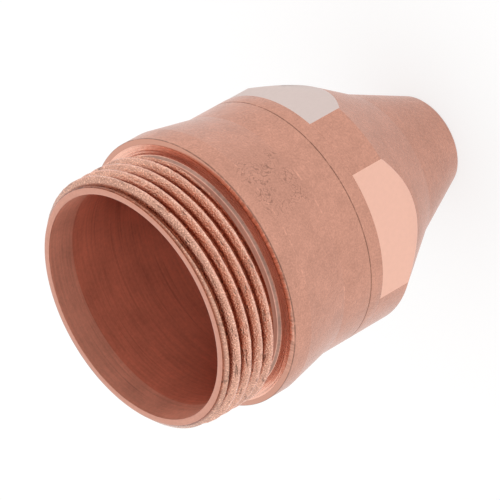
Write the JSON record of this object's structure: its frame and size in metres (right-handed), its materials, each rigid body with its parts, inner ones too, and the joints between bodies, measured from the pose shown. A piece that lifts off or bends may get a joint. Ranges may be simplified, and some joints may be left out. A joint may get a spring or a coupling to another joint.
{
  "type": "plasma torch nozzle",
  "caption": "Turned copper nozzle with an external thread and shoulder, a tapered body with spanner flats, and a conical nose that ends in a small outlet.",
  "frame": {"origin": "centre of the tip's flat face, on which the nozzle stands", "axes": "+Z along the turning axis, from the tip to the rim of the threaded end; +X square to one spanner flat"},
  "size_m": [0.0298, 0.0298, 0.0418],
  "materials": {
    "copper": "satin turned copper, uncoated"
  },
  "bodies": {
    "root": {"nozzle": "copper"}
  },
  "joints": []
}
